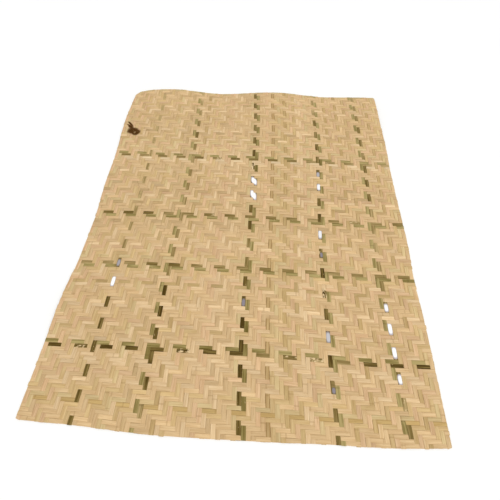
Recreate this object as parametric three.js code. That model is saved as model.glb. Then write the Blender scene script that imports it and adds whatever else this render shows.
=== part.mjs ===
// A plaited floor mat of split bamboo, lying flat with its far end a little lifted.
// Millimetres. X runs across the mat, Y along it to the far end, Z up from the floor.

import * as THREE from 'three';

// Plaiting: the strips that set the mat's size
const STRIP_PITCH = 16;
const LENGTHWISE_STRIPS = 89;
const WIDTH = STRIP_PITCH * LENGTHWISE_STRIPS;
const LENGTH = 1842;
const THICKNESS = 2.6;

// The far corner on the left is worn round, the other three are only blunt
const WORN_CORNER = 42;
const BLUNT_CORNER = 10;

// Steps of the surface: close together where the mat lifts, wider where it lies flat
const STEPS_ACROSS = 28;
const STEPS_LIFTED = 16;
const STEPS_FLAT = 10;
const LIFTED_FROM = 250;

// How far each trimmed edge strays outwards from a straight cut, at places along it
const LEFT_EDGE = [
  { along: -LENGTH / 2, out: 7 },
  { along: -430, out: -4 },
  { along: -300, out: -12 },
  { along: -40, out: -17.5 },
  { along: 140, out: -8.5 },
  { along: 420, out: -6.5 },
  { along: 690, out: 7.5 },
  { along: LENGTH / 2, out: -8 },
];
const RIGHT_EDGE = [
  { along: -LENGTH / 2, out: 5 },
  { along: -500, out: 2.5 },
  { along: -300, out: -4.5 },
  { along: -120, out: 0.5 },
  { along: 60, out: -4 },
  { along: 280, out: -9 },
  { along: 500, out: -7.5 },
  { along: 700, out: -16 },
  { along: LENGTH / 2, out: -19 },
];
const NEAR_EDGE = [
  { along: -WIDTH / 2, out: -14 },
  { along: -520, out: -7.5 },
  { along: -290, out: 6 },
  { along: -100, out: 7.5 },
  { along: 140, out: 6 },
  { along: 300, out: 2.5 },
  { along: 520, out: 2 },
  { along: WIDTH / 2, out: -8 },
];
const FAR_EDGE = [
  { along: -WIDTH / 2, out: -24 },
  { along: -610, out: -17 },
  { along: -420, out: -3 },
  { along: -200, out: -10 },
  { along: 0, out: -7 },
  { along: 150, out: -4 },
  { along: 340, out: -5 },
  { along: WIDTH / 2, out: 1.5 },
];

// Low swells where the springy sheet stands off the floor, each fading out at its reach
const SWELLS = [
  { name: 'far left', x: -540, y: 940, reachX: 320, reachY: 230, lift: 19 },
  { name: 'far left corner', x: -720, y: 930, reachX: 120, reachY: 120, lift: -8 },
  { name: 'left', x: -600, y: 520, reachX: 300, reachY: 230, lift: 8 },
  { name: 'far middle', x: 105, y: 900, reachX: 345, reachY: 430, lift: 20 },
  { name: 'far right', x: 650, y: 760, reachX: 300, reachY: 330, lift: 12 },
  { name: 'near left', x: -730, y: -500, reachX: 180, reachY: 240, lift: 10 },
];

const STRAW = new THREE.MeshStandardMaterial({
  color: 0xd9ba8b,
  roughness: 0.6,
  metalness: 0,
});

// A smooth line through an edge's places, read at any distance along it
function edgeLine(places) {
  const points = places.map((place) => new THREE.Vector2(place.along, place.out));
  const samples = new THREE.SplineCurve(points).getPoints(80);
  return (along) => {
    const next = samples.findIndex((sample) => sample.x >= along);
    if (next < 0) return samples[samples.length - 1].y;
    if (next === 0) return samples[0].y;
    const before = samples[next - 1];
    const after = samples[next];
    const share = (along - before.x) / (after.x - before.x);
    return THREE.MathUtils.lerp(before.y, after.y, share);
  };
}

const leftOut = edgeLine(LEFT_EDGE);
const rightOut = edgeLine(RIGHT_EDGE);
const nearOut = edgeLine(NEAR_EDGE);
const farOut = edgeLine(FAR_EDGE);

// One at the middle of a swell and nothing at its reach
function hill(distance, reach) {
  const share = Math.abs(distance) / reach;
  if (share >= 1) return 0;
  return Math.cos((share * Math.PI) / 2) ** 2;
}

// Height of the mat's underside above the floor
function liftAt(x, y) {
  let height = 0;
  for (const swell of SWELLS) {
    height += swell.lift * hill(x - swell.x, swell.reachX) * hill(y - swell.y, swell.reachY);
  }
  return Math.max(height, 0);
}

// Draws a point of a square corner in to the round one: side is -1 or 1 each way
function roundCorner(point, sideX, sideY, radius) {
  const middleX = sideX * (WIDTH / 2 - radius);
  const middleY = sideY * (LENGTH / 2 - radius);
  const outX = (point.x - middleX) * sideX;
  const outY = (point.y - middleY) * sideY;
  if (outX <= 0 || outY <= 0) return;
  const squareReach = Math.max(outX, outY);
  const roundReach = Math.hypot(outX, outY);
  const draw = squareReach / roundReach;
  point.x = middleX + sideX * outX * draw;
  point.y = middleY + sideY * outY * draw;
}

// A point of the straight rectangle moved to its place in the mat as trimmed
function placeInMat(acrossShare, alongY) {
  const point = new THREE.Vector2((acrossShare - 0.5) * WIDTH, alongY);
  roundCorner(point, -1, 1, WORN_CORNER);
  roundCorner(point, 1, 1, BLUNT_CORNER);
  roundCorner(point, -1, -1, BLUNT_CORNER);
  roundCorner(point, 1, -1, BLUNT_CORNER);
  const rightShare = point.x / WIDTH + 0.5;
  const farShare = point.y / LENGTH + 0.5;
  const leftMove = -leftOut(point.y) * (1 - rightShare);
  const rightMove = rightOut(point.y) * rightShare;
  const nearMove = -nearOut(point.x) * (1 - farShare);
  const farMove = farOut(point.x) * farShare;
  return new THREE.Vector2(point.x + leftMove + rightMove, point.y + nearMove + farMove);
}

// Lines along the mat: wide apart on the flat part, closer on the lifted end, and
// closest at both ends, where the corners turn
function linesAlong() {
  const lines = [-LENGTH / 2, -LENGTH / 2 + BLUNT_CORNER];
  for (let step = 1; step <= STEPS_FLAT; step += 1) {
    lines.push(THREE.MathUtils.lerp(-LENGTH / 2, LIFTED_FROM, step / STEPS_FLAT));
  }
  const wornFrom = LENGTH / 2 - WORN_CORNER;
  for (let step = 1; step <= STEPS_LIFTED; step += 1) {
    lines.push(THREE.MathUtils.lerp(LIFTED_FROM, wornFrom, step / STEPS_LIFTED));
  }
  lines.push(LENGTH / 2 - WORN_CORNER * 0.6);
  lines.push(LENGTH / 2 - WORN_CORNER * 0.3);
  lines.push(LENGTH / 2 - BLUNT_CORNER * 0.5);
  lines.push(LENGTH / 2);
  return lines;
}

// Shares of the width, evenly spread between the corners' own lines
function sharesAcross() {
  const wornShare = WORN_CORNER / WIDTH;
  const bluntShare = BLUNT_CORNER / WIDTH;
  const shares = [0, bluntShare * 0.5, wornShare * 0.35, wornShare * 0.65];
  for (let step = 0; step <= STEPS_ACROSS; step += 1) {
    shares.push(THREE.MathUtils.lerp(wornShare, 1 - bluntShare, step / STEPS_ACROSS));
  }
  shares.push(1);
  return shares;
}

// The closed sheet: an underside, a top one thickness higher, and a rim between them
function matGeometry() {
  const lines = linesAlong();
  const shares = sharesAcross();
  const across = shares.length;
  const along = lines.length;
  const layer = across * along;
  const positions = [];
  for (const rise of [0, THICKNESS]) {
    for (const line of lines) {
      for (const share of shares) {
        const place = placeInMat(share, line);
        positions.push(place.x, place.y, liftAt(place.x, place.y) + rise);
      }
    }
  }
  const triangles = [];
  const addSquare = (a, b, c, d) => triangles.push(a, b, c, a, c, d);
  for (let row = 0; row < along - 1; row += 1) {
    for (let column = 0; column < across - 1; column += 1) {
      const a = row * across + column;
      const b = a + 1;
      const c = b + across;
      const d = a + across;
      addSquare(a, d, c, b);
      addSquare(a + layer, b + layer, c + layer, d + layer);
    }
  }
  for (let column = 0; column < across - 1; column += 1) {
    const near = column;
    const far = (along - 1) * across + column;
    addSquare(near, near + 1, near + 1 + layer, near + layer);
    addSquare(far + 1, far, far + layer, far + 1 + layer);
  }
  for (let row = 0; row < along - 1; row += 1) {
    const left = row * across;
    const right = left + across - 1;
    addSquare(left + across, left, left + layer, left + across + layer);
    addSquare(right, right + across, right + across + layer, right + layer);
  }
  const geometry = new THREE.BufferGeometry();
  geometry.setAttribute('position', new THREE.Float32BufferAttribute(positions, 3));
  geometry.setIndex(triangles);
  geometry.computeVertexNormals();
  return geometry;
}

const plaitedMat = new THREE.Mesh(matGeometry(), STRAW);
plaitedMat.name = 'plaited_mat';

const mat = new THREE.Group();
mat.add(plaitedMat);

export default mat;
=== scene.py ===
# %% [markdown]
# A plaited floor mat of split bamboo.
# The real mat is made of about two hundred flat strips, each as long or as wide as the mat.
# They pass over three strips and under three, one place further on from strip to strip,
# which draws steps that run slantwise over the whole mat. This is called a 3/3 twill.
# A few strips keep the bamboo's green or brown skin, and they draw large open squares.
# This lesson makes every strip as a thin closed ribbon that really goes over and under.

# %% Load the frame
import math
import bpy
import numpy as np
from mathutils import Matrix, Vector


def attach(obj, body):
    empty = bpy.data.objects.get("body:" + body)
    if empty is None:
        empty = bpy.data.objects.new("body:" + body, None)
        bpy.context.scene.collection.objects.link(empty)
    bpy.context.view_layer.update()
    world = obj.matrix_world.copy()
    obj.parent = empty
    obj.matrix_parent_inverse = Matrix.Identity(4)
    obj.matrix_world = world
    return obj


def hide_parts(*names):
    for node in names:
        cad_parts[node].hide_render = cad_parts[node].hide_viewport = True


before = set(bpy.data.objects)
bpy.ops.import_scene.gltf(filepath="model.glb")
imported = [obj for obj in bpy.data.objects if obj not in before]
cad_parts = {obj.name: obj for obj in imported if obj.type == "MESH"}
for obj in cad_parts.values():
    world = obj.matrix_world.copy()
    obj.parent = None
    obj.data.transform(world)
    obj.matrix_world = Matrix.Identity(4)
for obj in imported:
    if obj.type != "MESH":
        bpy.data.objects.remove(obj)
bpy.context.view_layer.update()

# %% [markdown]
# The camera comes first, so that every later step can be looked at.
# The photograph was taken by someone who stood at the near edge and looked down at the mat.
# The corners of the plait fit a 27 mm lens held 1.36 m above the floor and turned half a
# degree about its own line of sight.

# %% Camera
CAMERA_PLACE = Vector((0.0664, -1.0778, 1.3585))
CAMERA_AIM = Vector((0.0239, -0.1859, 0.0))
CAMERA_ROLL = math.radians(0.576)
CAMERA_LENS = 27.0
SENSOR_WIDTH = 36.0


def aim_camera():
    """A camera at its place, turned to its aim and rolled a little."""
    camera_data = bpy.data.cameras.new("camera")
    camera_data.lens = CAMERA_LENS
    camera_data.sensor_width = SENSOR_WIDTH
    camera = bpy.data.objects.new("camera", camera_data)
    bpy.context.collection.objects.link(camera)
    forward = (CAMERA_AIM - CAMERA_PLACE).normalized()
    level_right = forward.cross(Vector((0, 0, 1))).normalized()
    level_up = level_right.cross(forward)
    right = math.cos(CAMERA_ROLL) * level_right + math.sin(CAMERA_ROLL) * level_up
    up = right.cross(forward)
    turn = Matrix((right, up, -forward)).transposed()
    camera.matrix_world = Matrix.Translation(CAMERA_PLACE) @ turn.to_4x4()
    bpy.context.scene.camera = camera
    return camera


camera = aim_camera()
print("Camera height above the floor:", round(camera.location.z, 3))

# %% [markdown]
# Sizes of the mat. One strip takes 16 mm, as in many split-bamboo mats, and all else is
# counted in strips. A strip rises and dives by its own thickness, as a stiff strip must.
# Lengthwise strips run away from the viewer and are numbered from the left edge.
# Crosswise strips run from left to right and are numbered from the far edge.
# A place in the plait is a pair: strips from the left edge, and strips from the far edge.

# %% Sizes of the mat
MM = 0.001
STRIP_PITCH = 16 * MM
LENGTHWISE_STRIPS = 89
CROSSWISE_STRIPS = 119
WIDTH = STRIP_PITCH * LENGTHWISE_STRIPS
LENGTH = 1842 * MM
STRIP_THICKNESS = 0.85 * MM
MIDDLE_HEIGHT = 1.6 * MM
RISE = STRIP_THICKNESS
print("Mat before trimming, metres:", round(WIDTH, 3), "by", round(LENGTH, 3))

# %% [markdown]
# The four edges were cut by hand and stray up to 24 mm from straight lines.
# Each edge is a smooth curve through a few places, the same ones that shape the CAD solid.
# A Catmull-Rom curve is used because it passes through every place that it is given.

# %% The trimmed edges
LEFT_EDGE = [(-921, 7), (-430, -4), (-300, -12), (-40, -17.5), (140, -8.5), (420, -6.5),
             (690, 7.5), (921, -8)]
RIGHT_EDGE = [(-921, 5), (-500, 2.5), (-300, -4.5), (-120, 0.5), (60, -4), (280, -9),
              (500, -7.5), (700, -16), (921, -19)]
NEAR_EDGE = [(-712, -14), (-520, -7.5), (-290, 6), (-100, 7.5), (140, 6), (300, 2.5),
             (520, 2), (712, -8)]
FAR_EDGE = [(-712, -24), (-610, -17), (-420, -3), (-200, -10), (0, -7), (150, -4),
            (340, -5), (712, 1.5)]
CURVE_STEPS = 16


def smooth_line(places):
    """A curve through places in mm, read in metres at any distance along it."""
    points = np.array([places[0], *places, places[-1]], float) * MM
    turn = np.linspace(0, 1, CURVE_STEPS + 1)[:, None]
    stretches = []
    for a, b, c, d in zip(points[:-3], points[1:-2], points[2:-1], points[3:]):
        leave, arrive = (c - a) / 2, (d - b) / 2
        cubic = (2 * b - 2 * c + leave + arrive) * turn**3
        square = (3 * c - 3 * b - 2 * leave - arrive) * turn**2
        stretches.append(cubic + square + leave * turn + b)
    line = np.concatenate(stretches)
    return lambda along: np.interp(along, line[:, 0], line[:, 1])


left_out, right_out = smooth_line(LEFT_EDGE), smooth_line(RIGHT_EDGE)
near_out, far_out = smooth_line(NEAR_EDGE), smooth_line(FAR_EDGE)
print("Left edge strays at its middle, mm:", round(float(left_out(0)) / MM, 1))

# %% [markdown]
# A springy mat never lies quite flat. Low swells lift its far end and one side.
# Each swell is highest at its middle and fades out to nothing at its reach.

# %% Swells
SWELLS = [
    {"x": -540, "y": 940, "reach_x": 320, "reach_y": 230, "lift": 19},
    {"x": -720, "y": 930, "reach_x": 120, "reach_y": 120, "lift": -8},
    {"x": -600, "y": 520, "reach_x": 300, "reach_y": 230, "lift": 8},
    {"x": 105, "y": 900, "reach_x": 345, "reach_y": 430, "lift": 20},
    {"x": 650, "y": 760, "reach_x": 300, "reach_y": 330, "lift": 12},
    {"x": -730, "y": -500, "reach_x": 180, "reach_y": 240, "lift": 10},
]


def hill(distance, reach):
    """1 at the middle of a swell and 0 from its reach on."""
    share = np.clip(np.abs(distance) / (reach * MM), 0, 1)
    return np.cos(share * math.pi / 2) ** 2


def lift_at(x, y):
    """Height of the mat's underside above the floor."""
    height = 0
    for swell in SWELLS:
        over_x = hill(x - swell["x"] * MM, swell["reach_x"])
        over_y = hill(y - swell["y"] * MM, swell["reach_y"])
        height = height + swell["lift"] * MM * over_x * over_y
    return np.maximum(height, 0)


highest = max(SWELLS, key=lambda swell: swell["lift"])
lift_there = lift_at(highest["x"] * MM, highest["y"] * MM)
print("Highest swell, mm:", round(float(lift_there) / MM, 1))

# %% [markdown]
# Hand-plaited strips drift a little: some bunch up and some spread.
# The squares of darker strips show where, so a few of their lines are guides.
# Between two guides the strips are spread evenly, and the outermost lines are the edges.
# A line's drift is how far it has strayed from the place where even spacing would put it.

# %% Guides for the strips
# Strips from the left edge: (y, x) places in mm along that line
LENGTHWISE_GUIDES = {
    11.5: [(-921, -534), (-600, -528), (-280, -526), (-50, -519), (150, -518), (390, -522.5),
           (600, -527), (921, -535)],
    25.5: [(-921, -309), (-500, -310), (-310, -307.5), (-50, -301.5), (170, -299.5),
           (400, -301.5), (600, -305), (921, -314)],
    45.5: [(-921, 27), (-750, 18.5), (-430, 12), (-100, 15.5), (200, 13), (500, 9.5),
           (690, 6), (794, -1), (921, -6)],
    65.5: [(-921, 353), (-650, 342), (-450, 337), (-200, 330), (0, 332.5), (150, 335.5),
           (380, 339), (500, 339.5), (674, 334), (765, 330), (921, 325)],
    80.5: [(-921, 592), (-650, 581), (-325, 572), (-150, 570.5), (0, 573.5), (390, 577.5),
           (530, 574), (720, 568.5), (921, 559)],
}
# Strips from the far edge: (x, y) places in mm along that line
CROSSWISE_GUIDES = {
    14.5: [(-712, 695), (-525, 697), (-308, 699), (0, 708), (335, 706), (712, 705)],
    35.5: [(-712, 366), (-300, 366), (50, 370), (330, 370.5), (600, 363), (712, 366)],
    59.5: [(-712, -18), (-480, -9), (-80, -3.5), (300, -8), (590, -12.5), (712, -7)],
    76.5: [(-712, -290), (-480, -282), (-100, -280.5), (200, -281.5), (450, -287), (712, -285)],
    100.5: [(-712, -649), (-480, -646), (0, -643.5), (200, -647), (450, -656), (712, -653)],
    112.5: [(-712, -820), (-530, -822), (-310, -828), (0, -830), (350, -835), (590, -830),
            (712, -828)],
}


def between_guides(place, guide_places, drifts):
    """Drift at a place, from the drifts of the guide lines on both sides of it."""
    after = np.clip(np.searchsorted(guide_places, place), 1, len(guide_places) - 1)
    start = guide_places[after - 1]
    share = (place - start) / (guide_places[after] - start)
    columns = np.arange(place.size)
    return drifts[after - 1, columns] * (1 - share) + drifts[after, columns] * share


def even_x(from_left):
    return from_left * STRIP_PITCH - WIDTH / 2


def even_y(from_far):
    return LENGTH / 2 - from_far * LENGTH / CROSSWISE_STRIPS


def strayed(place, along, even, guides, count, edge_drifts):
    """Where a line is: its even place and its drift, read so far along the line."""
    places = np.array([0, *guides, count], float)
    inner = [smooth_line(line)(along) - even(number) for number, line in guides.items()]
    drifts = np.array([edge_drifts[0], *inner, edge_drifts[1]])
    return even(place) + between_guides(place, places, drifts)


def x_of(from_left, y):
    """x of the line that is so many strips from the left edge."""
    edges = (-left_out(y), right_out(y))
    return strayed(from_left, y, even_x, LENGTHWISE_GUIDES, LENGTHWISE_STRIPS, edges)


def y_of(from_far, x):
    """y of the line that is so many strips from the far edge."""
    edges = (far_out(x), -near_out(x))
    return strayed(from_far, x, even_y, CROSSWISE_GUIDES, CROSSWISE_STRIPS, edges)


REFINEMENTS = 3


def place_in_mat(from_left, from_far):
    """x and y of a place in the plait. Each needs the other, so both are refined in turn."""
    x = even_x(from_left)
    for _ in range(REFINEMENTS):
        y = y_of(from_far, x)
        x = x_of(from_left, y)
    return x, y


all_lengthwise = np.array([LENGTHWISE_STRIPS], float)
all_crosswise = np.array([CROSSWISE_STRIPS], float)
corner_x, corner_y = place_in_mat(all_lengthwise, all_crosswise)
print("Near right corner, metres:", corner_x.round(3), corner_y.round(3))

# %% [markdown]
# The plait itself. A strip rides on top of three others and then dives under three.
# From above, a strip's height is a wave with a period of six strips. The wave is a cosine
# made steeper and cut off flat, because a bamboo strip is stiff: it lies straight over the
# others and bends only where it dives.
# A lengthwise strip and a crosswise one have opposite waves wherever they meet, so one
# is always on top of the other.

# %% Over three, under three
PERIOD = 6
STEEPNESS = 2.2
# Places in one period where a ribbon gets a ring of points: close together in the bends
BENDS = [0, 1.05, 1.35, 1.65, 1.95, 3, 4.05, 4.35, 4.65, 4.95]
SHORTEST_STEP = 0.1
# Where along strip number 0 the middle of an upper stretch is
LENGTHWISE_START = -0.5
CROSSWISE_START = -1.5


def top_middle(number, lengthwise):
    """Where along a strip the middle of one of its upper stretches is."""
    return number + (LENGTHWISE_START if lengthwise else CROSSWISE_START)


def wave(along, middle):
    """1 where a strip is on top, -1 where it is below, and a steep bend between them."""
    turn = 2 * math.pi * (along - middle) / PERIOD
    return np.clip(STEEPNESS * np.cos(turn), -1, 1)


def ring_places(start, end, middle):
    """Places of a ribbon's rings from one cut end to the other."""
    first = math.floor((start - middle) / PERIOD) * PERIOD + middle
    periods = np.arange(first, end + PERIOD, PERIOD)
    places = (periods[:, None] + np.array(BENDS)).ravel()
    inner = places[(places > start + SHORTEST_STEP) & (places < end - SHORTEST_STEP)]
    return np.concatenate([[start], inner, [end]])


SAMPLE = 40
lengthwise_wave = wave(SAMPLE + 0.5, top_middle(SAMPLE, True))
crosswise_wave = wave(SAMPLE + 0.5, top_middle(SAMPLE, False))
print("Waves where two strips cross:", lengthwise_wave, crosswise_wave)

# %% [markdown]
# Dry split bamboo is straw coloured, but no two strips come from the same place in the
# same cane. Most strips of this mat are straw, some are peach, ochre or greenish. One image
# of the whole mat could show that, but it would be tied to this one size and this one view,
# so each strip draws one of a few tones instead.

# %% Straw tones
def linear(hex_colour):
    """A colour written as in a paint book, turned to the linear values that Blender uses."""
    values = [int(hex_colour[at : at + 2], 16) / 255 for at in (1, 3, 5)]
    return np.array([v / 12.92 if v <= 0.04045 else ((v + 0.055) / 1.055) ** 2.4 for v in values])


# Colour of each tone, and how often it is drawn
STRAW_TONES = {
    "straw": ("#DEC296", 0.46),
    "light straw": ("#E6CCA3", 0.2),
    "peach": ("#E0C098", 0.12),
    "ochre": ("#D7BD8C", 0.12),
    "greenish": ("#D8C394", 0.1),
}
TONE_COLOURS = np.array([linear(colour) for colour, often in STRAW_TONES.values()])
TONE_OFTEN = np.array([often for colour, often in STRAW_TONES.values()])
print("Straw tones:", ", ".join(STRAW_TONES))

# %% [markdown]
# A few plain strips stand out from their neighbours over their whole length. They are
# darker, a little narrower, and some have brown lines at their sides: partly a thread of skin
# that the splitting left, partly painted shade where the narrow strip's edges drop into the
# gaps. These strips are known by their numbers.

# %% Strips that stand out
# For each number: colour, how brown the sides are, share of the pitch that the strip fills
OWN_LENGTHWISE = {
    22: ("#D2B88B", 0.2, 0.96),
    28: ("#CDB381", 0.4, 0.95),
    51: ("#C8AD7D", 1.0, 0.88),
    55: ("#CDB380", 0.4, 0.94),
    58: ("#D2B885", 0.1, 0.96),
    69: ("#CEB481", 0.2, 0.96),
    73: ("#CDB380", 0.4, 0.94),
    76: ("#D2B888", 0.4, 0.95),
    84: ("#CFB583", 0.5, 0.93),
}
OWN_CROSSWISE = {
    23: ("#CFB589", 0.2, 0.96),
    36: ("#EBD5AE", 0, 0.98),
    47: ("#D3BA8E", 0.2, 0.96),
    50: ("#CEB489", 0.4, 0.95),
    55: ("#CDB385", 0.4, 0.95),
    62: ("#D0B68B", 0.2, 0.96),
    82: ("#CBB280", 0.2, 0.96),
    113: ("#CEB279", 0.4, 0.95),
}
print("Strips that stand out:", list(OWN_LENGTHWISE), "and", list(OWN_CROSSWISE))

# %% [markdown]
# Every strip is its own piece of bamboo, so each gets its own small differences, drawn
# from one seeded generator: tone, width, wobble, tilt and the place of its joints. With
# a seed, each run of the script gives the same mat.

# %% The strips' own features
draw = np.random.default_rng(27)
# Mean and spread of a draw, or its lowest and its highest value
BRIGHTNESS = (1.035, 0.03)
WIDTH_SHARE = (0.97, 0.992)
BROWN_SIDES = (0.05, 0.15)
SLOPE = (0, 0.012)
JOINT_GAP_METRES = (0.3, 0.42)
TRIM_STRIPS = (0, 0.07)
SPRING = (0, 0.25)
LENGTHWISE_SHADE = (1, 0.035)
CROSSWISE_SHADE = (1, 0.048)
FULL_TURN = 2 * math.pi
# Upper stretches with a shade and a spring of their own; a longer strip starts again
STRETCHES = 24


def own_features(number, lengthwise):
    """One strip's draws, always in the same order so that each run gives the same mat."""
    shade = LENGTHWISE_SHADE if lengthwise else CROSSWISE_SHADE
    base = TONE_COLOURS[draw.choice(len(TONE_OFTEN), p=TONE_OFTEN)]
    strip = {
        "number": number,
        "lengthwise": lengthwise,
        "colour": base * draw.normal(*BRIGHTNESS),
        "width": draw.uniform(*WIDTH_SHARE),
        "rim": max(0, draw.normal(*BROWN_SIDES)),
        "wobble": draw.uniform(0, FULL_TURN, 2),
        "slope": draw.normal(*SLOPE),
        "joint_gap": draw.uniform(*JOINT_GAP_METRES),
        "joint_start": draw.uniform(0, 1),
        "grain": draw.uniform(0, 100),
        "trims": draw.normal(*TRIM_STRIPS, 2),
        "springs": draw.uniform(*SPRING, STRETCHES),
        "shades": draw.normal(*shade, STRETCHES),
    }
    known = OWN_LENGTHWISE if lengthwise else OWN_CROSSWISE
    if number in known:
        colour, strip["rim"], strip["width"] = known[number]
        strip["colour"] = linear(colour)
    return strip


lengthwise_strips = [own_features(n, True) for n in range(LENGTHWISE_STRIPS)]
crosswise_strips = [own_features(n, False) for n in range(CROSSWISE_STRIPS)]
print("Strips:", len(lengthwise_strips), "lengthwise and", len(crosswise_strips), "crosswise")

# %% [markdown]
# No strip has one even colour from end to end. Each upper stretch is a little lighter or
# darker than the next one, and the change happens where the strip is hidden. The mat is
# also painted a little darker towards its left side than towards its right side.

# %% Straw colour along a strip
LIGHT_AT_LEFT = 0.97
LIGHT_AT_RIGHT = 1.03


def stretch_of(strip, places):
    """Number of the upper stretch that each place belongs to."""
    middle = top_middle(strip["number"], strip["lengthwise"])
    return np.round((places - middle) / PERIOD).astype(int)


def straw_along(strip, places):
    """Colour of a plain strip at each of its rings."""
    shades = strip["shades"][stretch_of(strip, places) % STRETCHES]
    from_left = strip["number"] if strip["lengthwise"] else places
    rightwards = from_left / LENGTHWISE_STRIPS
    light = LIGHT_AT_LEFT + (LIGHT_AT_RIGHT - LIGHT_AT_LEFT) * rightwards
    return strip["colour"] * (shades * light)[:, None]


sample_shades = straw_along(lengthwise_strips[SAMPLE], np.arange(3) * PERIOD)
print("Red share of one strip's first three stretches:", sample_shades[:, 0].round(2))

# %% [markdown]
# The check. At nine places strips were plaited in with their skin left on: one olive and
# one dark brown side by side, but only a brown one at the leftmost place. The skin is
# darker in some stretches than in others, so each strip has a few stops along it. A stop
# gives the place along the strip, counted in strips, and how dark it is there, from 0 for
# tan to 1 for a deep brown.

# %% The check strips
SKIN_LENGTHWISE = {
    11: [(28, 0.02), (34, 0.12), (46, 0.08), (52, 0), (64, 0.1), (71, 0.25), (80, 0.6),
         (88, 0.78), (100, 0.73), (107, 0.62), (113, 0.68)],
    24: [(6, 0.05), (30, 0.14), (60, 0.16), (84, 0.23), (96, 0.33), (114, 0.22)],
    25: [(6, 0), (12, 0.07), (24, 0.6), (30, 0.2), (42, 0.35), (60, 0.36), (66, 0.15),
         (79, 0.3), (84, 0.97), (97, 0.96), (102, 0.8), (108, 0.74), (114, 0.26)],
    45: [(3, 0.43), (8, 0.6), (20, 0.55), (32, 0.8), (56, 0.6), (63, 0.68), (69, 0.22),
         (74, 0.32), (80, 0.9), (98, 0.88), (110, 0.84), (117, 0.64)],
    46: [(4, 0.15), (15, 0.36), (33, 0.25), (39, 0.58), (57, 0.4), (64, 0.1), (70, 0.17),
         (87, 0.32), (94, 0.55), (105, 0.4), (112, 0.78), (118, 0.3)],
    65: [(4, 0.15), (10, 0.06), (16, 0.5), (22, 0.5), (28, 0.7), (34, 0.55), (52, 0.76),
         (58, 0.86), (70, 0.5), (76, 0.92), (88, 0.75), (100, 0.94), (106, 0.56), (113, 0.6)],
    66: [(6, 0), (29, 0.25), (36, 0.55), (41, 0.22), (60, 0.12), (77, 0.13), (101, 0.18),
         (108, 0.02)],
    79: [(6, 0), (12, 0.08), (19, 0.18), (40, 0.15), (60, 0.03), (78, 0.22), (85, 0.18),
         (108, 0.02), (114, 0.25)],
    80: [(2, 0.14), (7, 0.27), (25, 0.46), (31, 0.36), (37, 0.58), (50, 0.63), (55, 0.26),
         (67, 0.06), (79, 0.25), (98, 0.5), (110, 0.3), (115, 0.54)],
}
SKIN_CROSSWISE = {
    34: [(3, 0.15), (10, 0.07), (26, 0.18), (39, 0.05), (45, 0.2), (51, 0.02), (62, 0.16),
         (80, 0.1)],
    35: [(4, 0.46), (10, 0.28), (16, 0.53), (28, 0.56), (34, 0.3), (40, 0.5), (52, 0.4),
         (58, 0.71), (64, 0.26), (70, 0.4), (76, 0.26), (88, 0)],
    59: [(4, 0.56), (10, 0.7), (16, 0.8), (22, 0.4), (28, 0.42), (34, 0.53), (40, 0.7),
         (46, 0.4), (58, 0.4), (64, 0.25), (82, 0.3), (88, 0.46)],
    60: [(4, 0.2), (22, 0.3), (34, 0.26), (43, 0.1), (60, 0.22), (70, 0.26), (77, 0.05),
         (83, 0.22)],
    76: [(3, 0.2), (9, 0.22), (15, 0.35), (20, 0.62), (26, 0.8), (33, 0.2), (39, 0.46),
         (45, 0.36), (50, 0.66), (57, 0.26), (75, 0.2), (80, 0.5), (87, 0.32)],
    77: [(4, 0.2), (20, 0.26), (45, 0.2), (51, 0.4), (58, 0.2), (76, 0.26), (82, 0.38),
         (88, 0.22)],
    99: [(8, 0.25), (20, 0.2), (31, 0.34), (38, 0.56), (44, 0.4), (50, 0.32), (56, 0.12),
         (62, 0), (68, 0.2), (80, 0.2), (86, 0.08)],
    100: [(8, 0.7), (14, 1.0), (26, 0.97), (32, 0.75), (38, 0.88), (44, 1.0), (50, 0.36),
          (57, 0.6), (63, 0.4), (69, 0.32), (75, 0.66), (81, 0.94), (87, 0.86)],
}
# The greener strip of each pair; the others are brown
OLIVE_LENGTHWISE = (24, 46, 66, 79)
OLIVE_CROSSWISE = (34, 60, 77, 99)

# Stretches where the skin has partly flaked off: strip, place, share that is gone
FLAKED_LENGTHWISE = [(45, 38.5, 0.42), (65, 82.5, 0.48), (80, 109.5, 0.22), (65, 70.5, 0.1)]
FLAKED_CROSSWISE = [(100, 8.5, 0.4), (100, 32.5, 0.36), (100, 56.5, 0.2), (100, 62.5, 0.42),
                    (35, 33.5, 0.3), (59, 33.5, 0.15), (59, 75.5, 0.25)]


def skin_depth(strip, places):
    """How dark a check strip is at each of its rings. Each upper stretch differs a little."""
    table = SKIN_LENGTHWISE if strip["lengthwise"] else SKIN_CROSSWISE
    stops = np.array(table[strip["number"]])
    own = strip["shades"][stretch_of(strip, places) % STRETCHES] - 1
    return np.clip(np.interp(places, stops[:, 0], stops[:, 1]) + own, 0, 1)


print("Check strips:", list(SKIN_LENGTHWISE), "lengthwise,", list(SKIN_CROSSWISE), "crosswise")
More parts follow.
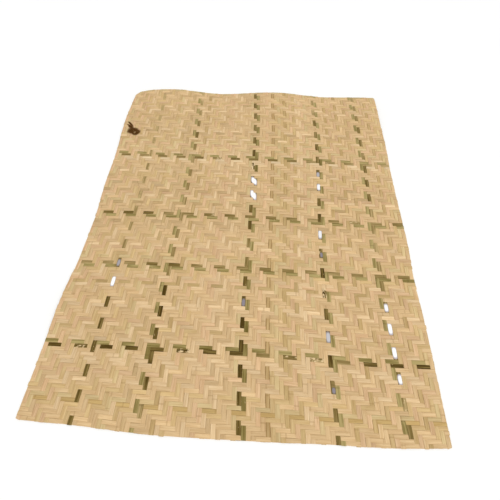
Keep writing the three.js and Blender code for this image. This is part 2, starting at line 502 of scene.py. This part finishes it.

# %% [markdown]
# Here and there the skin has a white or grey spot with a grey rim: a painted reflection, the
# glare of the shiny skin painted into its colour. Two spots reach over both strips of a pair,
# so a spot is placed by the mat's strips and not by one ribbon.

# %% White spots
# The spots are painted reflections: glare on the shiny skin, painted into its colour.
# Strips that a spot reaches over, its middle in strips from the left and the far edge, its
# half width and half length in strips, how white it is from 0 for grey to 1, and its slant
WHITE_SPOTS = [
    ((11,), (11.5, 76.6), (0.5, 1.25), 0.15, 0),
    ((11,), (11.5, 82.4), (0.62, 1.9), 1, 0),
    ((45, 46), (46, 45.1), (1.02, 1.5), 1, 0.9),
    ((45, 46), (46, 50.9), (1.08, 1.8), 1, 1.1),
    ((45,), (45.5, 86.9), (0.5, 1.3), 0, 0),
    ((65,), (65.5, 41.1), (0.52, 1.2), 0.25, 0),
    ((65,), (65.6, 46.4), (0.7, 1.5), 0.9, 0),
    ((65,), (65.5, 64.2), (0.62, 1.7), 0.8, 0),
    ((65,), (65.6, 71.0), (0.4, 0.9), 0, 0),
    ((65,), (65.5, 94.6), (0.6, 1.6), 0.4, 0),
    ((65,), (65.6, 107.2), (0.45, 0.8), 0, 0),
    ((80,), (80.5, 85.7), (0.6, 1.25), 0.9, 0),
    ((80,), (80.5, 91.3), (0.66, 1.8), 1, 0),
    ((80,), (80.5, 97.3), (0.66, 1.65), 1, 0),
    ((80,), (80.6, 103.8), (0.6, 1.35), 0.95, 0),
]
# A point outside every spot is this many spots away
FAR_OFF = 9.0


def white_spots_of(strip, from_left, from_far):
    """For each point its place in the nearest spot, both ways, and how white the spot is."""
    along = np.full(from_left.shape, FAR_OFF)
    across = np.full(from_left.shape, FAR_OFF)
    white = np.zeros(from_left.shape)
    for strips, middle, half, share, slant in WHITE_SPOTS:
        if strip["number"] in strips:
            aside, ahead = from_left - middle[0], from_far - middle[1]
            near = stretch_of(strip, from_far) == stretch_of(strip, middle[1])
            along[near] = ((ahead - slant * aside) / half[1])[near]
            across[near] = (aside / half[0])[near]
            white[near] = share
    return along, across, white


print("White spots:", len(WHITE_SPOTS))

# %% [markdown]
# Now the ribbons. A split strip is flat below and has slightly rounded shoulders above,
# so its section is a ring of six points. The rings are set along the strip at the places
# found above, and lifted by the wave and by the swells.
# Two hundred strips would be slow to make one by one with Blender's operators, so numpy
# works out all the points of a strip at once, and one mesh holds many strips.
# A cut end follows the mat's edge, and at the worn far left corner the strips stop short.

# %% One ribbon
SHOULDER = 0.28 * MM
FLAT_HALF = 0.41
TOP = STRIP_THICKNESS / 2
# Section: share of the strip's width from its middle, and height from its middle
SECTION = np.array([
    (-0.5, -TOP),
    (-0.5, TOP - SHOULDER),
    (-FLAT_HALF, TOP),
    (FLAT_HALF, TOP),
    (0.5, TOP - SHOULDER),
    (0.5, -TOP),
])
WORN_CORNER = 42 * MM
BLUNT_CORNER = 10 * MM
# How far a strip wanders from its line, in strips, and how slowly it does so
WANDER = 0.012
SLOW_WANDER = 9
QUICK_WANDER = 3.7
# How much the springiest upper stretch stands off, for each share of spring
SPRING_HEIGHT = 0.6 * MM


def cut_back(distance, radius):
    """How far a round corner cuts into a strip that is so far in from the corner's side."""
    reach = np.clip(radius - distance, 0, radius)
    return radius - np.sqrt(radius**2 - reach**2)


def ribbon(strip):
    """One strip's rings: their places along it, and each point's place across it and x, y, z."""
    number, lengthwise = strip["number"], strip["lengthwise"]
    crossed = CROSSWISE_STRIPS if lengthwise else LENGTHWISE_STRIPS
    beside = LENGTHWISE_STRIPS if lengthwise else CROSSWISE_STRIPS
    middle = top_middle(number, lengthwise)
    start, end = strip["trims"][0], crossed - strip["trims"][1]
    places = ring_places(start, end, middle)
    slow, quick = strip["wobble"]
    wander = np.sin(places / SLOW_WANDER + slow) + np.sin(places / QUICK_WANDER + quick)
    across = number + 0.5 + SECTION[:, 0] * strip["width"] + WANDER * wander[:, None]
    from_side = np.minimum(across, beside - across) * STRIP_PITCH
    start_radius = np.where(across < beside / 2, WORN_CORNER, BLUNT_CORNER)
    start_cut = cut_back(from_side, start_radius) / STRIP_PITCH
    end_cut = cut_back(from_side, BLUNT_CORNER) / STRIP_PITCH
    along = np.clip(places[:, None], start + start_cut, end - end_cut)
    if lengthwise:
        x, y = place_in_mat(across.ravel(), along.ravel())
    else:
        x, y = place_in_mat(along.ravel(), across.ravel())
    x, y = x.reshape(across.shape), y.reshape(across.shape)
    height = wave(places, middle)
    spring = strip["springs"][stretch_of(strip, places) % STRETCHES] * np.clip(height, 0, 1)
    level = MIDDLE_HEIGHT + RISE * height + SPRING_HEIGHT * spring
    tilt = strip["slope"] * SECTION[:, 0] * STRIP_PITCH
    z = lift_at(x, y) + level[:, None] + SECTION[:, 1] + tilt
    return places, across, np.stack([x, y, z], axis=-1)


places, across, points = ribbon(lengthwise_strips[SAMPLE])
heights = points[..., 2] / MM
print("One strip has", len(places), "rings; its height runs, mm:",
      heights.min().round(2), "to", heights.max().round(2))

# %% [markdown]
# A bundle of strips becomes one mesh. Next to its points, the mesh keeps what the material
# needs: a plain strip's colour, its brown rims, its grain and its joints; a check strip's
# depth, flaked stretches and white spots; and a UV map with metres along the strip and the
# share across it.

# %% What each point of a strip keeps
def flaked_at(strip, places):
    """Share of the skin that is gone at each ring."""
    gone = np.zeros(len(places))
    flakes = FLAKED_LENGTHWISE if strip["lengthwise"] else FLAKED_CROSSWISE
    for number, middle, share in flakes:
        if number == strip["number"]:
            gone[np.abs(places - middle) < PERIOD / 2] = share
    return gone


def over_rings(values, across):
    """One value for each ring, given to all points of the ring."""
    return np.broadcast_to(values[:, None], across.shape)


def features_of(strip, places, across, with_skin):
    """All named values of one strip, as rings of points."""
    joint = places * STRIP_PITCH / strip["joint_gap"] + strip["joint_start"]
    kept = {
        "grain": np.full(across.shape, strip["grain"]),
        "joint": over_rings(joint, across),
    }
    if not with_skin:
        kept["rim"] = np.full(across.shape, strip["rim"])
        return kept
    kept["depth"] = over_rings(skin_depth(strip, places), across)
    kept["flaked"] = over_rings(flaked_at(strip, places), across)
    olive = strip["number"] in (OLIVE_LENGTHWISE if strip["lengthwise"] else OLIVE_CROSSWISE)
    kept["olive"] = np.full(across.shape, float(olive))
    if strip["lengthwise"]:
        spots = white_spots_of(strip, across, over_rings(places, across))
    else:
        spots = [np.full(across.shape, value) for value in (FAR_OFF, FAR_OFF, 0.0)]
    kept["spot_along"], kept["spot_across"], kept["white"] = spots
    return kept


check_strip = lengthwise_strips[next(iter(SKIN_LENGTHWISE))]
kept = features_of(check_strip, *ribbon(check_strip)[:2], True)
print("A check strip keeps:", ", ".join(kept))

# %% [markdown]
# A ribbon is closed: its walls go from ring to ring, and two faces close each of its cut
# ends. All faces have four sides. A crosswise ribbon is a lengthwise one's mirror image, so
# its faces are turned over to look outwards.

# %% Faces of one ribbon
def walls_and_ends(index, lengthwise):
    """Faces of one ribbon, from the numbers of its points, ring by ring."""
    here, after = index[:-1], index[1:]
    side, side_after = np.roll(here, -1, axis=1), np.roll(after, -1, axis=1)
    walls = np.stack([here, after, side_after, side], axis=-1).reshape(-1, 4)
    first, last = index[0], index[-1]
    ends = np.array([
        [first[0], first[1], first[4], first[5]],
        [first[1], first[2], first[3], first[4]],
        [last[5], last[4], last[1], last[0]],
        [last[4], last[3], last[2], last[1]],
    ])
    faces = np.concatenate([walls, ends])
    return faces if lengthwise else faces[:, ::-1]


sample_index = np.arange(across.size).reshape(across.shape)
print("Faces of one strip:", len(walls_and_ends(sample_index, True)))

# %% [markdown]
# One mesh holds many strips, so the numbers of its points run on from strip to strip.

# %% Many strips gathered
def gather(strips, with_skin):
    """Points, faces, UV places, colours and other features of many strips, as long arrays."""
    points, faces, uvs, colours, features = [], [], [], [], {}
    made = 0
    for strip in strips:
        places, across, rings = ribbon(strip)
        index = made + np.arange(across.size).reshape(across.shape)
        faces.append(walls_and_ends(index, strip["lengthwise"]))
        points.append(rings.reshape(-1, 3))
        metres = over_rings(places * STRIP_PITCH, across)
        share = np.broadcast_to(SECTION[:, 0] + 0.5, across.shape)
        uvs.append(np.stack([metres, share], axis=-1).reshape(-1, 2))
        straw = np.c_[straw_along(strip, places), np.ones(len(places))]
        colours.append(np.repeat(straw, len(SECTION), axis=0))
        for key, values in features_of(strip, places, across, with_skin).items():
            features.setdefault(key, []).append(values.ravel())
        made += across.size
    features = {key: np.concatenate(values) for key, values in features.items()}
    joined = [np.concatenate(part) for part in (points, faces, uvs, colours)]
    return *joined, features


sample_points = gather(lengthwise_strips[:3], False)[0]
print("Three strips have", len(sample_points), "points")

# %% [markdown]
# The arrays then go into a mesh in one step each. Its corners are rounded by smooth
# shading up to 40 degrees, and sharper edges stay sharp.

# %% A bundle of ribbons as one mesh
SHARP_FROM = math.radians(40)


def add_attribute(mesh, name, kind, values):
    """Keeps one value, or one colour, for each point of a mesh."""
    attribute = mesh.attributes.new(name, kind, "POINT")
    field = "color" if kind == "FLOAT_COLOR" else "value"
    attribute.data.foreach_set(field, np.asarray(values, dtype=np.float32).ravel())


def bundle(name, strips, with_skin=False):
    """One mesh of many strips."""
    points, faces, uvs, colours, features = gather(strips, with_skin)
    mesh = bpy.data.meshes.new(name)
    mesh.vertices.add(len(points))
    mesh.vertices.foreach_set("co", points.astype(np.float32).ravel())
    mesh.loops.add(faces.size)
    mesh.loops.foreach_set("vertex_index", faces.astype(np.int32).ravel())
    mesh.polygons.add(len(faces))
    mesh.polygons.foreach_set("loop_start", np.arange(0, faces.size, 4, dtype=np.int32))
    mesh.update(calc_edges=True)
    mesh.uv_layers.new(name="strip")
    mesh.uv_layers["strip"].data.foreach_set("uv", uvs[faces.ravel()].astype(np.float32).ravel())
    add_attribute(mesh, "colour", "FLOAT_COLOR", colours)
    for key, values in features.items():
        add_attribute(mesh, key, "FLOAT", values)
    piece = bpy.data.objects.new(name, mesh)
    bpy.context.collection.objects.link(piece)
    bpy.ops.object.select_all(action="DESELECT")
    piece.select_set(True)
    bpy.context.view_layer.objects.active = piece
    bpy.ops.object.shade_smooth_by_angle(angle=SHARP_FROM)
    print(name, "has", len(strips), "strips and", 2 * len(faces), "triangles")
    return piece

# %% [markdown]
# The mat becomes five pieces: plain lengthwise strips, plain crosswise strips in a far and
# a near half, and the skin strips each way. That keeps every piece under 200,000 triangles
# and gives the two kinds of strips their own materials.

# %% The five pieces
def plain(strips, skin_numbers):
    """The strips that were scraped clean of their skin."""
    return [strip for strip in strips if strip["number"] not in skin_numbers]


def skinned(strips, skin_numbers):
    """The strips that kept their skin."""
    return [strip for strip in strips if strip["number"] in skin_numbers]


plain_crosswise = plain(crosswise_strips, SKIN_CROSSWISE)
half = len(plain_crosswise) // 2
lengthwise_plain = bundle("lengthwise_strips", plain(lengthwise_strips, SKIN_LENGTHWISE))
crosswise_far = bundle("crosswise_strips_far", plain_crosswise[:half])
crosswise_near = bundle("crosswise_strips_near", plain_crosswise[half:])
skin_lengthwise = bundle(
    "skin_strips_lengthwise", skinned(lengthwise_strips, SKIN_LENGTHWISE), with_skin=True
)
skin_crosswise = bundle(
    "skin_strips_crosswise", skinned(crosswise_strips, SKIN_CROSSWISE), with_skin=True
)
plain_pieces = [lengthwise_plain, crosswise_far, crosswise_near]
skin_pieces = [skin_lengthwise, skin_crosswise]

# %% [markdown]
# Materials are node trees. Two small helpers make them short to write.
# A Wire is a socket that Python can add, subtract, multiply and so on: each such step adds
# a Math node. A Paint makes a material and any node in it, and links what it is given.

# %% Helpers for materials
def both_ways(operation):
    """An operator's two methods: one for a wire on its left, one for a wire on its right."""
    def on_left(wire, other):
        return wire.math(operation, wire, other)

    def on_right(wire, other):
        return wire.math(operation, other, wire)

    return on_left, on_right


class Wire:
    def __init__(self, paint, socket):
        self.paint = paint
        self.socket = socket

    def math(self, operation, *values):
        """A Math node that takes one, two or three values or wires."""
        return self.paint.node("ShaderNodeMath", {"operation": operation}, dict(enumerate(values)))

    __add__, __radd__ = both_ways("ADD")
    __sub__, __rsub__ = both_ways("SUBTRACT")
    __mul__, __rmul__ = both_ways("MULTIPLY")
    __truediv__, __rtruediv__ = both_ways("DIVIDE")
    __pow__, __rpow__ = both_ways("POWER")

    def __abs__(self):
        return self.math("ABSOLUTE", self)


class Paint:
    def __init__(self, name):
        self.material = bpy.data.materials.new(name)
        self.material.use_nodes = True
        self.tree = self.material.node_tree
        self.shader = self.tree.nodes["Principled BSDF"]

    def node(self, kind, settings, values, output=0):
        """Any node: its settings first, then the values or wires of its sockets."""
        made = self.tree.nodes.new(kind)
        for name, value in settings.items():
            setattr(made, name, value)
        for name, value in values.items():
            self.give(made.inputs[name], value)
        return Wire(self, made.outputs[output])

    def give(self, socket, value):
        if isinstance(value, Wire):
            self.tree.links.new(value.socket, socket)
        else:
            socket.default_value = value

    def attribute(self, name, output="Fac"):
        return self.node("ShaderNodeAttribute", {"attribute_name": name}, {}, output)

    def colour_attribute(self, name):
        return self.attribute(name, "Color")

    def smooth(self, value, start, end):
        """0 before start, 1 after end, and a soft step between them."""
        values = {"Value": value, "From Min": start, "From Max": end}
        return self.node("ShaderNodeMapRange", {"interpolation_type": "SMOOTHSTEP"}, values)

    def mix(self, share, first, second, blend="MIX"):
        settings = {"data_type": "RGBA", "blend_type": blend}
        return self.node("ShaderNodeMix", settings, {0: share, 6: first, 7: second}, 2)

    def ramp(self, value, stops):
        """Colours between stops, each a place from 0 to 1 and a colour."""
        made = self.node("ShaderNodeValToRGB", {}, {0: value})
        elements = made.socket.node.color_ramp.elements
        elements[0].position, elements[0].color = stops[0][0], rgba(stops[0][1])
        elements[1].position, elements[1].color = stops[-1][0], rgba(stops[-1][1])
        for place, colour in stops[1:-1]:
            elements.new(place).color = rgba(colour)
        return made

    def noise(self, vector, detail=2.0, roughness=0.5):
        values = {"Vector": vector, "Scale": 1.0, "Detail": detail, "Roughness": roughness}
        return self.node("ShaderNodeTexNoise", {}, values)

    def vector(self, x, y, z):
        return self.node("ShaderNodeCombineXYZ", {}, {0: x, 1: y, 2: z})

    def first_two(self, vector):
        """x and y of a vector."""
        return [self.node("ShaderNodeSeparateXYZ", {}, {0: vector}, axis) for axis in (0, 1)]


def rgba(hex_colour):
    """A colour as a colour socket takes it."""
    return (*linear(hex_colour), 1)


print("Straw for a colour socket:", np.round(rgba(STRAW_TONES["straw"][0]), 3))

# %% [markdown]
# Split bamboo. The colour of each strip comes from its attribute. On top of that come
# long fibres, broad bands, slow patches, a brown line at the strip's sides, partly skin left
# there and partly painted shade along its edges, and a joint every 30 to 42 cm, where the
# cane had a ring. A photograph of bamboo could be wrapped on each strip, but it would
# repeat; noise never does. All of it is laid out on the strip's own UV map, so the fibres
# follow every strip over and under.

# %% What all strips share
# Streaks are noise drawn out along the strip. Each kind has its waves per metre along the
# strip and per width across it, the start and end of the soft step that turns the noise
# into values from 0 to 1, and the noise's detail and roughness. Times and plus lead each
# strip and each kind to its own stretch of the noise.
def streak(along, across, plus, step=None, times=1, fine=(2, 0.5)):
    return {"along": along, "across": across, "plus": plus, "step": step, "times": times,
            "fine": fine}


STREAKS = {
    "fibres": streak(9, 34, 0, (0.28, 0.74), fine=(3, 0.6)),
    "bands": streak(14, 3.4, 57, (0.3, 0.7), fine=(2, 0.6)),
    "patches": streak(11, 1.3, 0, (0.3, 0.7), times=3.1),
    "flecks": streak(55, 8, 91, (0.66, 0.76)),
    "sides": streak(7, 2.4, 13, (0.42, 0.58)),
    "flakes": streak(60, 2.2, 7, (0.68, 0.74), fine=(3, 0.6)),
}
# Brown sides, in shares of the width: how far in they reach on any strip, as painted shade
# along the edges, how much further on a strip with the brownest sides, where skin is left,
# and how ragged and how soft they are
RAGGED = streak(16, 2, 31)
EDGE_SHADE_WIDTH = 0.035
WIDE_RIM = 0.16
RAGGED_RIM = 0.08
SOFT_RIM = 0.04
# Half widths of a joint's dark line and of its soft sides, as shares of the gap between joints
JOINT_LINE = (0.003, 0.011)


def strip_places(paint):
    """Metres along the strip, share across it, and the grain's own number."""
    along, across = paint.first_two(paint.node("ShaderNodeUVMap", {"uv_map": "strip"}, {}))
    return along, across, paint.attribute("grain")


def strip_noise(paint, kind, place):
    """Noise drawn out along the strip, in a stretch of its own for each strip."""
    along, across, grain = place
    own_stretch = grain * kind["times"] + kind["plus"]
    vector = paint.vector(along * kind["along"], across * kind["across"], own_stretch)
    return paint.noise(vector, *kind["fine"])


def streaks(paint, name, place, more=0.0):
    """One kind of streaks, from 0 to 1. More, from 0 up, makes them larger."""
    kind = STREAKS[name]
    return paint.smooth(strip_noise(paint, kind, place) + more, *kind["step"])


def joints(paint):
    """1 on a joint's dark line and 0 a few millimetres away from it."""
    phase = paint.attribute("joint")
    from_joint = abs(phase.math("FRACT", phase) - 0.5)
    return 1 - paint.smooth(from_joint, *JOINT_LINE)


def rims_and_edge_shade(paint, place):
    """Brown lines at the strip's two sides, as wide as the rim attribute says: partly skin left
    there, partly painted shade along every strip's edges.
    """
    across = place[1]
    from_middle = abs(across - 0.5)
    ragged = (strip_noise(paint, RAGGED, place) - 0.5) * RAGGED_RIM
    reach = 0.5 - EDGE_SHADE_WIDTH - paint.attribute("rim") * WIDE_RIM + ragged
    return paint.smooth(from_middle - reach, 0.0, SOFT_RIM)


print("Kinds of streaks:", ", ".join(STREAKS))

# %% [markdown]
# Near the far left corner the mat has one dark brown stain, as if something burnt or spilt
# there: a blot about 7 cm wide with a small painted highlight on it, and two thin streaks that
# run from it towards the corner. It goes over several strips, so it is placed by the mat's own
# coordinates and not by any one strip's, as five long or round blots in millimetres, each
# turned by some degrees. Noise makes their rims ragged.

# %% The stain
STAIN_BLOTS = [
    {"x": -655, "y": 545, "long": 30, "wide": 27, "turn": -8},
    {"x": -636, "y": 533, "long": 26, "wide": 24, "turn": 60},
    {"x": -672, "y": 576, "long": 17, "wide": 11, "turn": 149},
    {"x": -680, "y": 602, "long": 28, "wide": 6, "turn": 131},
    {"x": -682, "y": 587, "long": 19, "wide": 6, "turn": 149},
]
# The small paler spot in the stain is a painted highlight.
STAIN_HIGHLIGHT = {"x": -641, "y": 530, "core": 2.83, "reach": 8}
STAIN_HIGHLIGHT_BY = 0.4
# Waves of noise per metre, the noise's own slice, and its detail and roughness
STAIN_WAVES = 90
STAIN_SLICE = 3.0
STAIN_FINE = (3.0, 0.6)
# How blunt a blot's ends are, and from where to where, in shares of its size, it fades out
BLUNTNESS = 1.4
STAIN_FADE = (0.2, 1.5)
STAIN_STRENGTH = 1.04
STAIN_UNEVEN = 0.9


def stain(paint):
    """1 in the dark stain, and less at its ragged rim and at its painted highlight."""
    x, y = paint.first_two(paint.node("ShaderNodeTexCoord", {}, {}, "Object"))
    waves = paint.vector(x * STAIN_WAVES, y * STAIN_WAVES, STAIN_SLICE)
    ragged = paint.noise(waves, *STAIN_FINE) - 0.5
    dark = 0.0
    for blot in STAIN_BLOTS:
        turn = math.radians(blot["turn"])
        aside, ahead = x - blot["x"] * MM, y - blot["y"] * MM
        down = (aside * math.cos(turn) + ahead * math.sin(turn)) / (blot["long"] * MM)
        over = (ahead * math.cos(turn) - aside * math.sin(turn)) / (blot["wide"] * MM)
        reach = (down * down) ** BLUNTNESS + (over * over) ** BLUNTNESS + ragged
        inside = 1 - paint.smooth(reach, *STAIN_FADE)
        dark = inside.math("MAXIMUM", dark, inside)
    highlight_x, highlight_y = x - STAIN_HIGHLIGHT["x"] * MM, y - STAIN_HIGHLIGHT["y"] * MM
    core, reach = (STAIN_HIGHLIGHT["core"] * MM) ** 2, (STAIN_HIGHLIGHT["reach"] * MM) ** 2
    highlight = 1 - paint.smooth(highlight_x * highlight_x + highlight_y * highlight_y, core, reach)
    return dark * (STAIN_STRENGTH + ragged * STAIN_UNEVEN) * (1 - highlight * STAIN_HIGHLIGHT_BY)


print("Blots in the stain:", len(STAIN_BLOTS))

# %% [markdown]
# The plain strips were split and scraped, so they are matt. Their straw colour gets its
# coats one after the other, as a painter would glaze it, and the fibres also make the
# surface rougher and give it a fine relief.

# %% The plain bamboo
# Coats on the plain straw, in order: what each follows, its strength and its colour, and
# whether it multiplies what is below or covers it
PLAIN_COATS = [
    ("fibres", 0.34, "#B3935F", "MULTIPLY"),
    ("bands", 0.3, "#B89A62", "MULTIPLY"),
    ("patches", 0.15, "#C9A878", "MULTIPLY"),
    # The rims coat is brown skin at some strips' sides and painted shade along every strip's
    # edges.
    ("rims_and_edge_shade", 1, "#9A7644", "MIX"),
    ("joints", 0.28, "#8A673A", "MIX"),
    ("flecks", 0.4, "#7E5B30", "MIX"),
    ("stain", 1, "#4D2F07", "MIX"),
]
# How strong the brown sides are on any strip, as painted shade along the edges, and how much
# more so on the brownest, where skin is left
EDGE_SHADE_STRENGTH = 0.15
RIM_BROWNER = 0.6
PLAIN_FINISH = {"rough": 0.5, "rougher": 0.16, "shine": 0.05, "relief": 0.5, "grooves": 0.4}
JOINT_RIDGE = 1.5
RELIEF_HEIGHT = 0.2 * MM


def finish_bamboo(paint, finish, colour, fibres, height):
    """Gives a bamboo material its colour, its shine and its fine relief."""
    paint.give(paint.shader.inputs["Base Color"], colour)
    paint.give(paint.shader.inputs["Roughness"], finish["rough"] + fibres * finish["rougher"])
    paint.shader.inputs["Specular IOR Level"].default_value = finish["shine"]
    height = height - fibres * finish["grooves"]
    bump = {"Strength": finish["relief"], "Distance": RELIEF_HEIGHT, "Height": height}
    paint.give(paint.shader.inputs["Normal"], paint.node("ShaderNodeBump", {}, bump))
    return paint.material


def plain_bamboo():
    paint = Paint("plain_bamboo")
    place = strip_places(paint)
    kinds = ("fibres", "bands", "patches", "flecks")
    follows = {kind: streaks(paint, kind, place) for kind in kinds}
    rim_and_shade_strength = paint.attribute("rim") * RIM_BROWNER + EDGE_SHADE_STRENGTH
    follows["rims_and_edge_shade"] = rims_and_edge_shade(paint, place) * rim_and_shade_strength
    follows["joints"] = joints(paint)
    follows["stain"] = stain(paint)
    colour = paint.colour_attribute("colour")
    for name, strength, shade, blend in PLAIN_COATS:
        colour = paint.mix(follows[name] * strength, colour, rgba(shade), blend)
    height = follows["joints"] * JOINT_RIDGE
    return finish_bamboo(paint, PLAIN_FINISH, colour, follows["fibres"], height)


plain_material = plain_bamboo()
for piece in plain_pieces:
    piece.data.materials.append(plain_material)
print("Nodes in the plain material:", len(plain_material.node_tree.nodes))

# %% [markdown]
# The skin strips keep the hard outer skin, which is darker, smoother and a little shiny.
# Its colour follows how dark the strip is, from tan to deep brown, made uneven by streaks.
# Where the skin has flaked off, the straw below shows through. Whitish spots with a grey rim
# are painted reflections: the glare of the shiny skin, painted into its colour.

# %% The bamboo with its skin
SKIN_SHADES = [(0.0, "#B49B6A"), (0.25, "#967F4F"), (0.5, "#836E3D"), (0.75, "#6D5928"),
               (1.0, "#4A370A")]
# How much the streaks of each kind make the skin darker here and lighter there
SKIN_UNEVEN = {"sides": 0.34, "bands": 0.2, "fibres": 0.14}
OLIVE_TINT = "#F6FFF4"
# Flakes: how much the flaked attribute enlarges them, how bare they are, how deep
MORE_FLAKES = 0.45
BARE = 0.9
FLAKE_DEPTH = 0.6
SKIN_JOINT = (0.3, "#5E4A26")
SKIN_FINISH = {"rough": 0.42, "rougher": 0.12, "shine": 0.12, "relief": 0.4, "grooves": 0.25}
# A painted glare spot's rim and its core: where each fades out, in shares of the spot's size,
# its colour in a grey spot and its colour in a white one
GLARE_RIM = {"fade": (0.75, 1.05), "grey": "#75695A", "white": "#B9AFB0"}
GLARE_CORE = {"fade": (0.2, 0.6), "grey": "#8A8288", "white": "#FAFAFA"}


def painted_glare_spots(paint, colour):
    """The skin's colour with its painted glare spots, and 1 where no spot is."""
    along, across = paint.attribute("spot_along"), paint.attribute("spot_across")
    reach = (along * along) ** BLUNTNESS + (across * across) ** BLUNTNESS
    white = paint.attribute("white")
    for part in (GLARE_RIM, GLARE_CORE):
        glare_colour = paint.mix(white, rgba(part["grey"]), rgba(part["white"]))
        colour = paint.mix(1 - paint.smooth(reach, *part["fade"]), colour, glare_colour)
    return colour, paint.smooth(reach, *GLARE_RIM["fade"])


def skin_bamboo():
    paint = Paint("skin_bamboo")
    place = strip_places(paint)
    kinds = {kind: streaks(paint, kind, place) for kind in SKIN_UNEVEN}
    depth = paint.attribute("depth")
    for kind, strength in SKIN_UNEVEN.items():
        depth = depth + (kinds[kind] - 0.5) * strength
    colour = paint.ramp(depth, SKIN_SHADES)
    colour = paint.mix(paint.attribute("olive"), colour, rgba(OLIVE_TINT), "MULTIPLY")
    flaked = streaks(paint, "flakes", place, paint.attribute("flaked") * MORE_FLAKES)
    colour = paint.mix(flaked * BARE, colour, paint.colour_attribute("colour"))
    colour, outside_glare = painted_glare_spots(paint, colour)
    joint = joints(paint)
    joint_share, joint_brown = SKIN_JOINT
    colour = paint.mix(joint * joint_share * outside_glare, colour, rgba(joint_brown))
    height = joint * JOINT_RIDGE - flaked * FLAKE_DEPTH
    return finish_bamboo(paint, SKIN_FINISH, colour, kinds["fibres"], height)


skin_material = skin_bamboo()
for piece in skin_pieces:
    piece.data.materials.append(skin_material)
print("Nodes in the skin material:", len(skin_material.node_tree.nodes))

# %% [markdown]
# Each piece rides on the mat's one body, and the mat's one plain solid is hidden, since the
# strips stand for it. The summed area of the plain lengthwise strips is worked out and
# printed.

# %% Attach the pieces
strip_area = sum(
    strip["width"] * STRIP_PITCH * LENGTH for strip in plain(lengthwise_strips, SKIN_LENGTHWISE)
)
for piece in [*plain_pieces, *skin_pieces]:
    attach(piece, "root")
    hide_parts("plaited_mat")
print("Area of the plain lengthwise strips, square metres:", round(strip_area, 3))

# %% [markdown]
# A plain pale floor and soft light. The sky gives most of the light, and one wide lamp from
# the near right draws thin shadows beside the strips. The floor is there for the picture and
# is no part of the mat.

# %% Floor and light
FLOOR_SIZE = 60.0
FLOOR_SHADES = ("#F4F4F2", "#F9F9F8")
FLOOR_CLOUDS = 1.5
FLOOR_ROUGHNESS = 0.8
SKY_STRENGTH = 0.72
LAMP_STRENGTH = 1.6
LAMP_SPREAD = math.radians(18)
LAMP_FROM = Vector((0.55, -0.5, 0.9))


def lay_floor():
    """A wide floor, a shade off white here and there."""
    bpy.ops.object.select_all(action="DESELECT")
    bpy.ops.mesh.primitive_plane_add(size=FLOOR_SIZE, location=(0, 0, 0))
    floor = bpy.context.object
    floor.name = "floor"
    paint = Paint("floor_paint")
    place = paint.node("ShaderNodeTexCoord", {}, {}, "Object")
    cloudy = paint.node("ShaderNodeTexNoise", {}, {"Vector": place, "Scale": FLOOR_CLOUDS})
    shade = paint.mix(cloudy, *(rgba(shade) for shade in FLOOR_SHADES))
    paint.give(paint.shader.inputs["Base Color"], shade)
    paint.shader.inputs["Roughness"].default_value = FLOOR_ROUGHNESS
    floor.data.materials.append(paint.material)


def hang_lights():
    """An even white sky and one wide lamp."""
    world = bpy.data.worlds.new("soft_sky")
    world.use_nodes = True
    sky = world.node_tree.nodes["Background"]
    sky.inputs["Color"].default_value = (1, 1, 1, 1)
    sky.inputs["Strength"].default_value = SKY_STRENGTH
    bpy.context.scene.world = world
    lamp = bpy.data.lights.new("wide_lamp", "SUN")
    lamp.energy = LAMP_STRENGTH
    lamp.angle = LAMP_SPREAD
    lamp_object = bpy.data.objects.new("wide_lamp", lamp)
    lamp_object.rotation_euler = LAMP_FROM.to_track_quat("Z", "Y").to_euler()
    bpy.context.collection.objects.link(lamp_object)


lay_floor()
hang_lights()
bpy.context.scene.view_settings.view_transform = "Standard"
print("Lights:", [light.name for light in bpy.data.lights])
